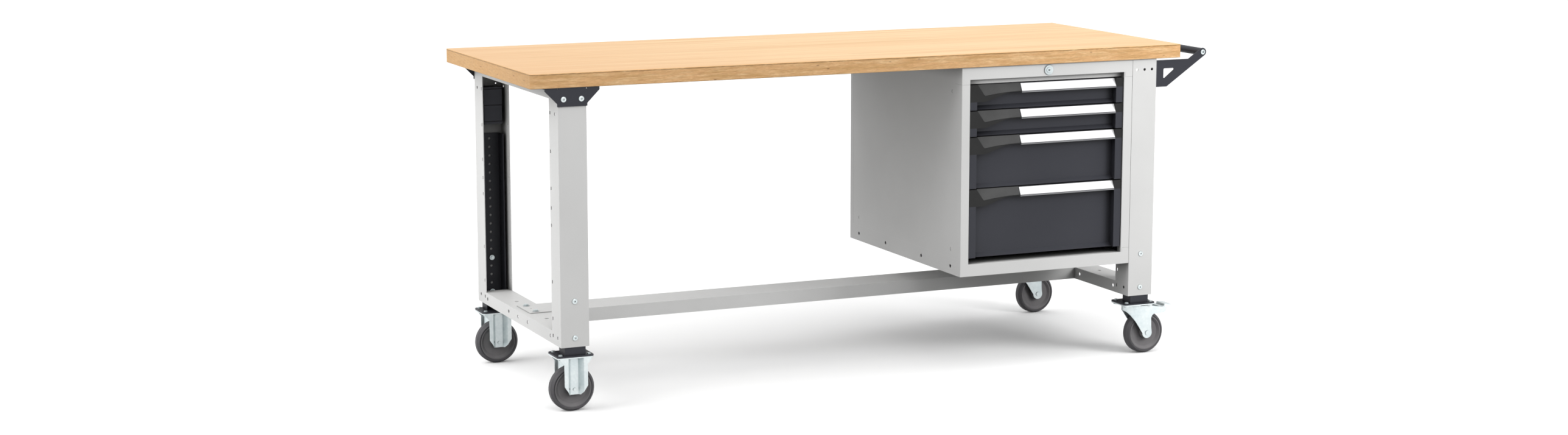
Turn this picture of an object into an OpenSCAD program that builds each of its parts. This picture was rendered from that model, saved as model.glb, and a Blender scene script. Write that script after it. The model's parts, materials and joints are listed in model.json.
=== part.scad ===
// Mobile workbench: thick timber top on channel legs, four castors and a drawer cabinet.
// +Z up, the user stands at -Y, origin on the floor under the middle of the bench.

/* [Worktop] */
// length of the timber top
top_w = 2000; // [1800:10:2400]
// depth of the timber top
top_d = 750; // [740:5:850]
// thickness of the timber top
top_t = 40; // [30:1:50]
// height of the working surface above the floor
bench_h = 921; // [915:1:940]
// rounding of the timber edges
top_edge_r = 2; // [1:0.5:4]

/* [Legs] */
// width of a leg channel
leg_w = 80; // [76:1:84]
// depth of a leg channel
leg_d = 72.5; // [68:0.5:78]
// sheet thickness of legs and rails
leg_sheet = 2; // [1.5:0.1:2.5]
// end of the top to the middle of a leg
leg_inset = 117.6; // [110:0.2:130]
// front edge of the top to the front of the legs
frame_inset = 6; // [5:0.5:10]
// rear edge of the top to the back of the legs
back_inset = 16; // [10:0.5:25]
// height of a rail between front and rear legs
rail_h = 35; // [30:1:36]
// width of the long stretcher
stretcher_w = 118; // [110:1:130]
// pitch of the hole rows
hole_pitch = 25; // [24:0.5:26]
// radius of the accessory holes
hole_r = 4; // [3.5:0.1:4.2]

/* [Castors] */
// radius of a wheel
wheel_r = 62.5; // [60:0.5:63]
// width of a tyre
tyre_w = 32; // [28:1:33]
// height of a castor with its plate
castor_h = 154; // [153:0.5:156]
// length of a castor plate
plate_x = 105; // [103:1:110]
// width of a castor plate
plate_y = 85; // [84.5:0.5:86]
// offset of a swivelling wheel behind its pivot
trail = 36; // [34:1:38]
// spread of the plate bolts along the bench
plate_bolts_x = 80; // [78:1:82]
// spread of the plate bolts across the bench
plate_bolts_y = 60; // [59:0.5:61]
// radius of a wheel axle
axle_r = 6; // [5:0.5:7]

/* [Cabinet] */
// width of the cabinet
cab_w = 559; // [555:1:565]
// clear height between the stretcher and the cabinet
cab_clear = 65; // [55:1:70]
// height of the band above the drawers
band_h = 35; // [34:0.5:38]
// width of the frame beside the drawers
stile_w = 25.5; // [24.5:0.5:26]
// slot height of each shallow drawer
shallow_h = 75; // [72:0.5:80]
// slot height of the medium drawer
medium_h = 150; // [140:1:160]
// gap between the deep drawer and the cabinet frame
floor_gap = 16; // [14:0.5:20]
// room behind a closed drawer
back_room = 103; // [85:1:130]
// lock to the left edge of the cabinet
lock_x = 279; // [270:0.5:290]

/* [Push handle] */
// reach of the grip tube beyond the end of the top
grip_reach = 80.5; // [78:0.5:90]
// rise of the grip tube above the underside of the top
grip_rise = 12.5; // [9:0.5:18]
// radius of the grip tube
grip_r = 11; // [10:0.5:12]

/* [Hidden] */
$fn = 48;
face_fit = 0.4;
screw_fit = 0.15;
axle_fit = 0.05;
eps = 0.01;
// overall frame
arm_end_r = 12;
over_w = top_w + grip_reach + arm_end_r;
top_z = bench_h - top_t;
grip_z = top_z + grip_rise;
frame_d = top_d - frame_inset - back_inset;
base_t = 4;
base_z = castor_h + base_t;
leg_z = base_z + 23;
rail_top = leg_z + rail_h;
leg_lx = leg_inset;
leg_rx = top_w - leg_inset;
frame_back = frame_inset + frame_d;
frame_mid = frame_inset + frame_d / 2;
rail_y0 = frame_inset + leg_d;
rail_y1 = frame_back - leg_d;
// holes and slots
slot_w = 6;
slot_h = 9;
slot_front = 64;
side_hole_back = 25;
side_hole_r = 4.5;
leg_len = top_z - leg_z;
slot_pair_rows = [23, leg_len - 72];
slot_rows = concat([70, 170, 324, 371], slot_pair_rows, [leg_len - 176, leg_len - 276]);
leg_screws = [25, 125];
top_holes_drop = 30.5;
small_hole_r = 2;
// inserts
insert_w = 60;
insert_d = 43.5;
insert_t = 2.5;
guide_w = 54;
guide_h = 107;
guide_drop = 71;
guide_gap = 31;
insert_h = top_z - base_z - guide_drop - guide_h - guide_gap;
insert_holes = floor((insert_h - leg_z + base_z - leg_screws[0] - 3 * hole_r) / hole_pitch) + 1;
// castors
castor_t = 3;
castor_y = plate_y / 2;
castor_back = frame_back + frame_inset - castor_y;
fork_in = tyre_w / 2 + 6.5;
plate_z = castor_h - castor_t;
castor_rows = [castor_y, castor_back];
// cabinet
cab_gap = 1;
cab_x1 = leg_rx - leg_w / 2 - cab_gap;
cab_x0 = cab_x1 - cab_w;
cab_z0 = rail_top + cab_clear;
cab_h = top_z - cab_z0;
cab_y1 = frame_back - 2;
cab_t = 1.5;
open_x0 = cab_x0 + stile_w;
open_x1 = cab_x1 - stile_w - 2;
base_h = 48;
lip_h = 14;
drawers_top = top_z - band_h - lip_h;
open_z0 = cab_z0 + band_h;
fold = 18;
// drawers
deep_h = drawers_top - open_z0 - floor_gap - 2 * shallow_h - medium_h;
heights = [shallow_h, shallow_h, medium_h, deep_h];
tops = [drawers_top, drawers_top - shallow_h, drawers_top - 2 * shallow_h,
        drawers_top - 2 * shallow_h - medium_h];
drawer_gap = 1;
side_gap = 2.4;
front_x0 = open_x0 + side_gap;
front_x1 = open_x1 - side_gap;
front_y = frame_inset + 3;
recess = 23;
panel_y = front_y + recess;
post_w = 22;
tray_t = 1.5;
runner_t = 4;
runner_h = 34;
tray_x0 = open_x0 + 2 * (face_fit + runner_t);
tray_x1 = open_x1 - 2 * (face_fit + runner_t);
tray_y1 = cab_y1 - back_room;
cap_drop = 50;
cap_small = 27;
grip_drop = 26;
latch_in = 26;
latch_len = 140;
grip_x0 = front_x0 + latch_in + latch_len + 3 * face_fit;
grip_x1 = front_x1 - post_w;
tilt_in = 12;
// lock
lock_cx = cab_x0 + lock_x;
lock_cz = top_z - 17.6;
lock_bezel_r = 13.7;
lock_r = 8;
lock_len = 19;
// handle
arm_t = 3;
arm_y0 = frame_inset;
arm_y1 = frame_back - arm_t;
arm_x0 = leg_rx + leg_w / 2;
grip_x = top_w + grip_reach;

timber = [0.86, 0.70, 0.52];
light = [0.90, 0.90, 0.89];
dark = [0.24, 0.24, 0.26];
plastic = [0.18, 0.18, 0.18];
zinc = [0.80, 0.84, 0.85];
grey = [0.50, 0.49, 0.50];
tread = [0.28, 0.28, 0.29];
white = [0.95, 0.95, 0.95];

// ---- helpers: everything is drawn from the left front corner of the top ----
module bench() {
  translate([-over_w / 2, -top_d / 2, 0]) children();
}
// a box from its low corner to its high corner
module span(lo, hi) {
  translate(lo) cube(hi - lo);
}
// a pin or bore along Y from y0 to y1
module along_y(x, z, r, y0, y1) {
  translate([x, y1, z]) rotate([90, 0, 0]) cylinder(r = r, h = y1 - y0);
}
// a pin or bore along X from x0 to x1
module along_x(y, z, r, x0, x1) {
  translate([x0, y, z]) rotate([0, 90, 0]) cylinder(r = r, h = x1 - x0);
}
// a pin or bore along Z from z0 to z1
module along_z(x, y, r, z0, z1) {
  translate([x, y, z0]) cylinder(r = r, h = z1 - z0);
}
// a flat outline in X and Z made t thick, its front face at y0
module sheet_xz(y0, t) {
  translate([0, y0 + t, 0]) rotate([90, 0, 0]) linear_extrude(t) children();
}
// an outline in Y and Z run along X from x0 to x1
module sheet_yz(x0, x1) {
  translate([x0, 0, 0]) rotate([90, 0, 90]) linear_extrude(x1 - x0) children();
}
module rounded(w, d, r) {
  translate([r, 0]) square([w - 2 * r, d]);
  translate([0, r]) square([w, d - 2 * r]);
  for (x = [r, w - r]) {
    for (y = [r, d - r]) {
      translate([x, y]) circle(r);
    }
  }
}
// places a leg part: x of the leg, and front or rear
module at_leg(x, rear) {
  translate([x, rear ? frame_back : frame_inset, 0]) mirror([0, rear ? 1 : 0, 0]) children();
}
module at_legs() {
  for (x = [leg_lx, leg_rx]) {
    for (rear = [false, true]) {
      at_leg(x, rear) children();
    }
  }
}

// ---- worktop ----
module worktop() {
  color(timber) bench() intersection() {
    translate([0, 0, top_z]) linear_extrude(top_t) rounded(top_w, top_d, top_edge_r);
    sheet_xz(0, top_d) translate([0, top_z]) rounded(top_w, top_t, top_edge_r);
    sheet_yz(0, top_w) translate([0, top_z]) rounded(top_d, top_t, top_edge_r);
  }
}

// ---- legs ----
module leg_section() {
  difference() {
    translate([-leg_w / 2, 0]) square([leg_w, leg_d]);
    translate([-leg_w / 2 + leg_sheet, leg_sheet]) square([leg_w - 2 * leg_sheet, leg_d]);
  }
}
// slots run through both flanges near the open edge, two rows have a round hole beside them
module leg_slots() {
  for (row = slot_rows) {
    translate([0, slot_front, leg_z + row]) cube([leg_w + 2, slot_w, slot_h], center = true);
  }
  for (row = slot_pair_rows) {
    along_x(side_hole_back, leg_z + row, side_hole_r, -leg_w, leg_w);
  }
}
module leg_blank(rear) {
  difference() {
    translate([0, 0, leg_z]) linear_extrude(top_z - leg_z) leg_section();
    leg_slots();
    for (drop = [-1, 0, 1]) {
      along_y(drop * hole_pitch, top_z - top_holes_drop, hole_r, -1, leg_sheet + 1);
    }
    for (up = leg_screws) {
      along_y(0, leg_z + up, hole_r, -1, leg_sheet + 1);
    }
    if (rear) {
      for (drop = [guide_drop - 6, guide_drop + guide_h + 4]) {
        along_y(guide_w / 2 - 4, top_z - drop, small_hole_r, -1, leg_sheet + 1);
      }
    }
  }
}
module leg_front_left() {
  color(light) bench() at_leg(leg_lx, false) leg_blank(false);
}
module leg_rear_left() {
  color(light) bench() at_leg(leg_lx, true) leg_blank(true);
}
// the right legs also carry the push handle, screwed to their outer flange
module leg_right_blank(rear) {
  difference() {
    leg_blank(rear);
    for (z = arm_screws_z) {
      along_x(arm_screw_y - frame_inset, z, small_hole_r + screw_fit, 0, leg_w);
    }
  }
}
module leg_front_right() {
  color(light) bench() at_leg(leg_rx, false) leg_right_blank(false);
}
module leg_rear_right() {
  color(light) bench() at_leg(leg_rx, true) leg_right_blank(true);
}

// ---- leg inserts: castor posts with a row of holes, and the guide blocks above ----
module insert_post() {
  difference() {
    translate([0, leg_sheet, base_z]) linear_extrude(insert_h) difference() {
      translate([-insert_w / 2, 0]) square([insert_w, insert_d]);
      translate([-insert_w / 2 + insert_t, insert_t]) {
        square([insert_w - 2 * insert_t, insert_d]);
      }
    }
    for (i = [0 : insert_holes - 1]) {
      along_y(0, leg_z + leg_screws[0] + i * hole_pitch, hole_r, 0,
              leg_sheet + insert_t + 1);
    }
  }
}
module guide_block() {
  groove = 3;
  difference() {
    translate([-guide_w / 2, leg_sheet, top_z - guide_drop - guide_h]) {
      cube([guide_w, insert_d, guide_h]);
    }
    for (z = [guide_h * 0.06, guide_h * 0.5, guide_h * 0.94]) {
      translate([-guide_w, leg_sheet + insert_d - groove, top_z - guide_drop - guide_h + z]) {
        cube([2 * guide_w, groove + 1, groove], center = false);
      }
    }
  }
}
module insert_base() {
  translate([0, 0, castor_h]) linear_extrude(base_t) difference() {
    translate([-plate_x / 2, -plate_y / 2]) rounded(plate_x, plate_y, 10);
    plate_holes();
  }
}
module plate_holes() {
  for (x = [-1, 1]) {
    for (y = [-1, 1]) {
      translate([x * plate_bolts_x / 2, y * plate_bolts_y / 2]) circle(hole_r);
    }
  }
}
module leg_inserts() {
  color(dark) bench() {
    at_legs() {
      insert_post();
      guide_block();
    }
    for (x = [leg_lx, leg_rx]) {
      for (y = castor_rows) {
        translate([x, y, 0]) insert_base();
      }
    }
  }
}

// ---- top brackets: gussets on three of the legs, with flanges bent under the top ----
bracket_w = 153;
bracket_h = 50;
bracket_t = 3;
bracket_end = 8;
bracket_foot = 84;
bracket_flange = 30;
module bracket(wings) {
  slope = (bracket_w - bracket_foot) / 2;
  wing = (bracket_w - leg_w) / 2 - 2;
  difference() {
    sheet_xz(-bracket_t, bracket_t) translate([0, top_z]) polygon([
      [-bracket_w / 2, 0], [-bracket_w / 2, -bracket_end],
      [-bracket_foot / 2, -bracket_end - slope], [-bracket_foot / 2, -bracket_h],
      [bracket_foot / 2, -bracket_h], [bracket_foot / 2, -bracket_end - slope],
      [bracket_w / 2, -bracket_end], [bracket_w / 2, 0]]);
    for (side = [-1, 1]) {
      along_y(side * hole_pitch, top_z - top_holes_drop, hole_r, -bracket_t - 1, 1);
      translate([side * (leg_w / 2 + 0.5), -bracket_t, top_z]) {
        cube([3, 2 * bracket_t + 1, 8], center = true);
      }
    }
  }
  for (side = wings) {
    difference() {
      translate([side * (bracket_w - wing) / 2, bracket_flange / 2, top_z - bracket_t / 2]) {
        cube([wing, bracket_flange, bracket_t], center = true);
      }
      along_z(side * (bracket_w - wing) / 2, bracket_flange * 0.6, hole_r,
              top_z - bracket_t - 1, top_z + 1);
    }
  }
}
module top_brackets() {
  color(dark) bench() {
    at_leg(leg_lx, false) bracket([-1, 1]);
    at_leg(leg_lx, true) bracket([-1, 1]);
    at_leg(leg_rx, true) bracket([1]);
  }
}

// ---- rails ----
tongue = 24;
lap = 6;
module rail_section(w) {
  translate([-w / 2, 0]) difference() {
    square([w, rail_h]);
    translate([leg_sheet, -1]) square([w - 2 * leg_sheet, rail_h - leg_sheet + 1]);
  }
}
module rail_along_y(y0, y1, w) {
  translate([0, y1, 0]) rotate([90, 0, 0]) linear_extrude(y1 - y0) rail_section(w);
}
// a rail between two legs, its narrower ends reach into the leg channels
module side_rail() {
  rail_along_y(rail_y0, rail_y1, leg_w);
  rail_along_y(rail_y0 - tongue, rail_y0 + lap, leg_w - 2 * leg_sheet);
  rail_along_y(rail_y1 - lap, rail_y1 + tongue, leg_w - 2 * leg_sheet);
}
module top_rails() {
  color(light) bench() for (x = [leg_lx, leg_rx]) {
    difference() {
      translate([x, 0, top_z - rail_h]) side_rail();
      for (y = [frame_mid - 200, frame_mid + 200]) {
        along_z(x, y, hole_r, top_z - rail_h, top_z + 1);
      }
    }
  }
}
rail_hole_r = 5;
rail_hole_in = 14;
rail_hole_mid = 83;
rail_hole_far = (rail_y1 - rail_y0) / 2 - rail_hole_in;
rail_top_mid = 131.5;
rail_top_r = 6;
tab_pitch = 84;
stretcher_y = top_d / 2;
module cross_rails() {
  color(light) bench() for (x = [leg_lx, leg_rx]) {
    difference() {
      translate([x, 0, leg_z]) side_rail();
      for (y = [-rail_hole_far, -rail_hole_mid, 0, rail_hole_mid, rail_hole_far]) {
        along_x(frame_mid + y, leg_z + rail_h / 2 + 1, rail_hole_r, x - leg_w, x + leg_w);
      }
      for (y = [-rail_top_mid, rail_top_mid]) {
        along_z(x, frame_mid + y, rail_top_r, leg_z + 1, rail_top + 1);
      }
      for (y = [-tab_pitch / 2, tab_pitch / 2]) {
        along_z(x, stretcher_y + y, hole_r, leg_z + 1, rail_top + 1);
      }
    }
  }
}
tab_t = 2.5;
tab_w = 62;
module stretcher() {
  x0 = leg_lx + leg_w / 2;
  x1 = leg_rx - leg_w / 2;
  y0 = stretcher_y - stretcher_w / 2;
  h = rail_h + tab_t;
  color(light) bench() difference() {
    union() {
      sheet_yz(x0, x1) translate([y0, leg_z]) difference() {
        square([stretcher_w, h]);
        translate([tab_t, -1]) square([stretcher_w - 2 * tab_t, h - tab_t + 1]);
      }
      span([x0 - tab_w, y0, rail_top], [x0, y0 + stretcher_w, rail_top + tab_t]);
      span([x1, y0, rail_top], [x1 + tab_w, y0 + stretcher_w, rail_top + tab_t]);
    }
    for (x = [leg_lx, leg_rx]) {
      for (y = [-tab_pitch / 2, tab_pitch / 2]) {
        along_z(x, stretcher_y + y, hole_r, rail_top - 1, rail_top + tab_t + 1);
      }
      along_z(x, stretcher_y, small_hole_r, rail_top - 1, rail_top + tab_t + 1);
    }
  }
}

// ---- cabinet ----
front_in = frame_inset + cab_t;
side_in = 60;
side_up = 73;
side_down = 72;
side_dent = 0.8;
seam = 0.5;
corner_d = 36;
// an upright oval dent in a cabinet side
module side_slot(x, y, z) {
  r = 3;
  for (up = [-2, 2]) {
    along_x(y, z + up, r, x, x + side_dent + 1);
  }
  span([x, y - r, z - 2], [x + side_dent + 1, y + r, z + 2]);
}
module cabinet_shell() {
  z0 = cab_z0 + base_h;
  y_front = frame_inset + side_in;
  y_back = cab_y1 - side_in;
  z_low = cab_z0 + side_up;
  z_high = top_z - side_down;
  color(light) bench() difference() {
    span([cab_x0, front_in, z0], [cab_x1, cab_y1, top_z]);
    span([cab_x0 + cab_t, front_in - 1, z0 - 1],
         [cab_x1 - cab_t, cab_y1 + 1, top_z - cab_t]);
    for (p = [[y_front, z_low], [y_front, z_high], [y_back, z_low]]) {
      for (x = [cab_x0 - 1, cab_x1 - side_dent]) {
        side_slot(x, p[0], p[1]);
      }
    }
    // seams where the panel meets the back and the top corner piece
    for (x = [cab_x0 - 1, cab_x1 - seam]) {
      span([x, cab_y1 - fold - seam, z0 - 1], [x + seam + 1, cab_y1 - fold, top_z + 1]);
      span([x, front_in - 1, drawers_top], [x + seam + 1, front_in + corner_d, drawers_top + seam]);
    }
  }
}
base_hole_in = 60;
base_hole_mid = 118;
base_hole_r = 5;
module cabinet_base() {
  mid = (front_in + cab_y1) / 2;
  far = (cab_y1 - front_in) / 2 - base_hole_in;
  color(light) bench() difference() {
    span([cab_x0, front_in, cab_z0], [cab_x1, cab_y1, cab_z0 + base_h]);
    span([cab_x0 + cab_t, front_in - 1, cab_z0 + cab_t],
         [cab_x1 - cab_t, cab_y1 + 1, cab_z0 + base_h + 1]);
    for (y = [mid - far, mid - base_hole_mid, mid + base_hole_mid, mid + far]) {
      for (x = [cab_x0 - 1, cab_x1 - cab_t - 1]) {
        along_x(y, cab_z0 + base_h / 2 - 1, base_hole_r, x, x + cab_t + 2);
      }
    }
  }
}
module cabinet_back() {
  color(light) bench() {
    span([cab_x0, cab_y1, cab_z0], [cab_x1, cab_y1 + cab_t, top_z]);
    span([cab_x0 + cab_t, cab_y1 - fold, cab_z0 + base_h],
         [cab_x0 + 2 * cab_t, cab_y1, top_z - cab_t]);
    span([cab_x1 - 2 * cab_t, cab_y1 - fold, cab_z0 + base_h],
         [cab_x1 - cab_t, cab_y1, top_z - cab_t]);
  }
}
module cabinet_frame() {
  lip_y = frame_inset + 16;
  tab_x = open_x1 + 4;
  foot_seam = 12;
  ledge_d = 120;
  ledge_slot_in = 12;
  ledge_slot_w = 30;
  color(light) bench() difference() {
    union() {
      sheet_xz(frame_inset, cab_t) difference() {
        translate([cab_x0, cab_z0]) square([cab_w, cab_h]);
        translate([open_x0, open_z0]) square([open_x1 - open_x0, top_z - band_h - open_z0]);
      }
      for (x = [open_x0 - cab_t, open_x1]) {
        span([x, front_in, open_z0], [x + cab_t, front_in + fold, top_z - band_h]);
      }
      span([open_x0 - cab_t, front_in, top_z - band_h],
           [open_x1 + cab_t, lip_y, top_z - band_h + cab_t]);
      span([open_x0, lip_y, drawers_top], [open_x1, lip_y + cab_t, top_z - band_h + cab_t]);
      span([open_x0 - cab_t, front_in, open_z0 - cab_t],
           [open_x1 + cab_t, front_in + ledge_d, open_z0]);
    }
    along_y(lock_cx, lock_cz, lock_r + 2, frame_inset - 1, front_in + 1);
    groove([cab_x0, drawers_top], [open_x0, drawers_top]);
    groove([tab_x, drawers_top], [cab_x1, drawers_top]);
    groove([tab_x, drawers_top], [tab_x, top_z - band_h]);
    groove([tab_x, open_z0 + foot_seam], [cab_x1, open_z0 + foot_seam]);
    groove([tab_x, open_z0], [tab_x, open_z0 + foot_seam]);
    // slots in the ledge under the deep drawer
    for (x = [open_x0 + ledge_slot_in, open_x1 - ledge_slot_in - ledge_slot_w]) {
      span([x, front_in + 6, open_z0 - cab_t - 1], [x + ledge_slot_w, front_in + 9, open_z0 + 1]);
    }
  }
}
// a seam line in the face of the cabinet frame, from a to b in X and Z
module groove(a, b) {
  span([a[0] - seam / 2, frame_inset - 1, a[1] - seam / 2],
       [b[0] + seam / 2, frame_inset + seam, b[1] + seam / 2]);
}
// uprights inside the cabinet and the channels the drawers run on
upright_d = 30;
runner_y0 = front_in + fold + 2;
module runner_set(x_out, x_in) {
  for (y = [runner_y0, cab_y1 - 2 * upright_d]) {
    span([min(x_out, x_in), y, cab_z0 + cab_t],
         [max(x_out, x_in), y + upright_d, drawers_top]);
  }
}
module fixed_runners() {
  color(dark) bench() {
    runner_set(cab_x0 + cab_t, open_x0 - runner_t);
    runner_set(open_x1 + runner_t, cab_x1 - cab_t);
    for (i = [0 : 3]) {
      z = tops[i] - heights[i] / 2 - runner_h / 2;
      for (x = [open_x0 - runner_t, open_x1]) {
        span([x, runner_y0, z], [x + runner_t, cab_y1 - fold - 2, z + runner_h]);
      }
    }
  }
}

// ---- lock ----
module lock_body() {
  color(zinc) bench() difference() {
    union() {
      along_y(lock_cx, lock_cz, lock_bezel_r, frame_inset - 3, frame_inset);
      along_y(lock_cx, lock_cz, lock_r + 2 - screw_fit, frame_inset, frame_inset + lock_len);
    }
    along_y(lock_cx, lock_cz, lock_r + 0.1, frame_inset - 4, frame_inset + lock_len + 1);
  }
}
module lock_cylinder() {
  slot = 7;
  color(zinc) bench() difference() {
    along_y(lock_cx, lock_cz, lock_r, frame_inset - 4, frame_inset + lock_len + 0.5);
    span([lock_cx - slot / 2, frame_inset - 5, lock_cz - 1],
         [lock_cx + slot / 2, frame_inset + 6, lock_cz + 1]);
    along_y(lock_cx, lock_cz, 1.8, frame_inset - 5, frame_inset + 6);
  }
}
module lock_cam() {
  cam_w = 14;
  cam_reach = 26;
  color(zinc) bench() sheet_xz(frame_inset + lock_len + 0.5, 2.5) translate([lock_cx, lock_cz]) {
    circle(cam_w / 2);
    translate([0, -cam_w / 2]) square([cam_reach, cam_w]);
  }
}

// ---- push handle ----
arm_top = -5.7;
arm_low = -84;
heel = 36;
win_x0 = 27.5;
win_x1 = 57;
win_z0 = -56;
win_z1 = -33.5;
arm_flange = 40;
arm_screws_z = [top_z + win_z1 + 9, top_z + win_z0 - 10];
arm_screw_y = frame_inset + 24;
knee = 34;
window_r = 3;
module arm_outline() {
  reach = grip_x - arm_x0;
  nx = sin(knee) * arm_end_r;
  nz = cos(knee) * arm_end_r;
  difference() {
    union() {
      polygon([
        [0, arm_low], [heel, arm_low],
        [reach + nx, grip_rise - nz], [reach - nx, grip_rise + nz],
        [reach - nx - (grip_rise + nz - arm_top) / tan(knee), arm_top], [0, arm_top]]);
      translate([reach, grip_rise]) circle(arm_end_r);
    }
    // a three cornered window with rounded corners
    polygon([
      [win_x0 - window_r, win_z1], [win_x0 - window_r, win_z0],
      [win_x0 + window_r * 0.6, win_z0 - window_r * 0.8],
      [win_x1 + window_r * 0.6, win_z1 - window_r * 0.8],
      [win_x1, win_z1 + window_r], [win_x0, win_z1 + window_r]]);
    for (corner = [[win_x0, win_z1], [win_x0, win_z0], [win_x1, win_z1]]) {
      translate(corner) circle(window_r);
    }
    translate([reach, grip_rise]) circle(hole_r);
  }
}
module handle_arms() {
  color(dark) bench() for (rear = [false, true]) {
    difference() {
      union() {
        sheet_xz(rear ? arm_y1 : arm_y0, arm_t) translate([arm_x0, top_z]) arm_outline();
        span([arm_x0, rear ? arm_y1 - arm_flange : arm_y0 + arm_t, top_z + arm_low],
             [arm_x0 + arm_t, rear ? arm_y1 : arm_y0 + arm_t + arm_flange, top_z + arm_top]);
      }
      for (z = arm_screws_z) {
        along_x(rear ? 2 * frame_mid - arm_screw_y : arm_screw_y, z,
                small_hole_r + screw_fit, arm_x0 - 1, arm_x0 + arm_t + 1);
      }
    }
  }
}
tube_hole = 40;
module handle_tube() {
  color(dark) bench() difference() {
    along_y(grip_x, grip_z, grip_r, arm_y0 + arm_t, arm_y1);
    along_y(grip_x, grip_z, hole_r, arm_y0, arm_y0 + tube_hole);
    along_y(grip_x, grip_z, hole_r, arm_y1 - tube_hole, arm_y1 + 1);
  }
}

// ---- fasteners ----
head_r = 7.3;
head_h = 2.9;
shaft_r = hole_r - screw_fit;
hex_r = 2.5;
// a button head screw along +Y, its head in front of y0
module screw_y(x, z, y0, len) {
  difference() {
    union() {
      along_y(x, z, head_r, y0 - head_h * 0.55, y0);
      translate([x, y0 - head_h * 0.55, z]) rotate([90, 0, 0]) {
        cylinder(r1 = head_r, r2 = head_r * 0.6, h = head_h * 0.45);
      }
      along_y(x, z, shaft_r, y0, y0 + len);
    }
    along_y(x, z, hex_r, y0 - head_h - 1, y0 - 1);
  }
}
module nut_y(x, z, y0, h) {
  along_y(x, z, head_r, y0, y0 + h);
}
module leg_screw_set() {
  for (up = leg_screws) {
    screw_y(0, leg_z + up, 0, leg_sheet + insert_t + 10);
    nut_y(0, leg_z + up, leg_sheet + insert_t, 6);
  }
}
module bracket_screw_set() {
  for (side = [-1, 1]) {
    screw_y(side * hole_pitch, top_z - top_holes_drop, -bracket_t, bracket_t + leg_sheet + 6);
  }
}
module frame_screws() {
  color(dark) bench() {
    at_legs() leg_screw_set();
    at_leg(leg_lx, false) bracket_screw_set();
    at_leg(leg_lx, true) bracket_screw_set();
    at_leg(leg_rx, true) bracket_screw_set();
    screw_y(grip_x, grip_z, arm_y0, 30);
    translate([0, 2 * frame_mid, 0]) mirror([0, 1, 0]) screw_y(grip_x, grip_z, arm_y0, 30);
    for (x = [leg_lx, leg_rx]) {
      for (y = [-tab_pitch / 2, tab_pitch / 2]) {
        bolt_z(x, stretcher_y + y, rail_top + tab_t, rail_top - leg_sheet);
      }
    }
    for (rear = [false, true]) {
      y = rear ? 2 * frame_mid - arm_screw_y : arm_screw_y;
      for (z = arm_screws_z) {
        along_x(y, z, 2 * small_hole_r, arm_x0 + arm_t, arm_x0 + arm_t + 2);
        along_x(y, z, small_hole_r, arm_x0 - leg_sheet - 3, arm_x0 + arm_t);
      }
    }
  }
}
// a hexagon bolt down from z1, with a washer on top and a nut below z0
module bolt_z(x, y, z1, z0) {
  washer_t = 1.5;
  nut_h = 6;
  along_z(x, y, head_r + 2, z1, z1 + washer_t);
  translate([x, y, z1 + washer_t]) cylinder(r = head_r - 1, h = 3.5);
  along_z(x, y, shaft_r, z0 - nut_h - 2, z1);
  translate([x, y, z0 - nut_h]) cylinder(r = head_r, h = nut_h, $fn = 6);
}
// a flat headed bolt up through a castor plate, washer and nut on top
bolt_head_t = 5;
module castor_bolt(x, y) {
  washer_t = 1;
  along_z(x, y, head_r, plate_z - bolt_head_t, plate_z);
  along_z(x, y, shaft_r, plate_z - bolt_head_t, base_z + 3.8);
  along_z(x, y, head_r - 0.8, base_z, base_z + washer_t);
  translate([x, y, base_z + washer_t]) cylinder(r = head_r - 1.8, h = 2.5, $fn = 6);
}
module caster_bolts() {
  color(zinc) bench() for (x = [leg_lx, leg_rx]) {
    for (y = castor_rows) {
      for (dx = [-1, 1]) {
        for (dy = [-1, 1]) {
          castor_bolt(x + dx * plate_bolts_x / 2, y + dy * plate_bolts_y / 2);
        }
      }
    }
  }
}

// ---- castors ----
module castor_plate(bore) {
  translate([0, 0, plate_z]) linear_extrude(castor_t) difference() {
    translate([-plate_x / 2, -plate_y / 2]) rounded(plate_x, plate_y, 10);
    plate_holes();
    if (bore > 0) {
      circle(bore);
    }
  }
}
// the fixed bracket: a pressed leg on each side, seen from above a hat section
wing_x = 33;
channel_x = 11.5;
channel_in = 17;
module leg_plan() {
  polygon([
    [-50, 0], [-22, 0], [-channel_x, channel_in], [channel_x, channel_in], [22, 0], [50, 0],
    [50, castor_t], [22 + castor_t / 2, castor_t],
    [channel_x + castor_t / 2, channel_in + castor_t],
    [-channel_x - castor_t / 2, channel_in + castor_t],
    [-22 - castor_t / 2, castor_t], [-50, castor_t]]);
}
flare = 12;
flare_h = 18;
module leg_front_view() {
  shoulder = wheel_r + 12;
  low = wheel_r - 14;
  foot = channel_x + 4;
  polygon([
    [-foot, low], [foot, low], [wing_x, shoulder], [wing_x, plate_z - flare_h],
    [wing_x + flare, plate_z - 3], [wing_x + flare, plate_z], [-wing_x - flare, plate_z],
    [-wing_x - flare, plate_z - 3], [-wing_x, plate_z - flare_h], [-wing_x, shoulder]]);
}
module fixed_leg() {
  translate([0, -plate_y / 2, 0]) difference() {
    intersection() {
      linear_extrude(plate_z) leg_plan();
      sheet_xz(-1, channel_in + castor_t + 2) leg_front_view();
    }
    translate([-16.6, 0, wheel_r + 4.5]) cube([4, 60, 4], center = true);
  }
}
// an axle riveted into both cheeks, with a low round head of radius head at each end
module axle(y_front, y_back, head, head_t) {
  along_y(0, wheel_r, axle_r, y_front, y_back);
  along_y(0, wheel_r, head, y_front - head_t, y_front);
  along_y(0, wheel_r, head, y_back, y_back + head_t);
}
module fixed_castor() {
  castor_plate(0);
  fixed_leg();
  mirror([0, 1, 0]) fixed_leg();
  axle(-plate_y / 2 + channel_in, plate_y / 2 - channel_in, axle_r - 2, 2.5);
}
module fixed_casters() {
  color(zinc) bench() for (y = castor_rows) {
    translate([leg_lx, y, 0]) fixed_castor();
  }
}
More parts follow.
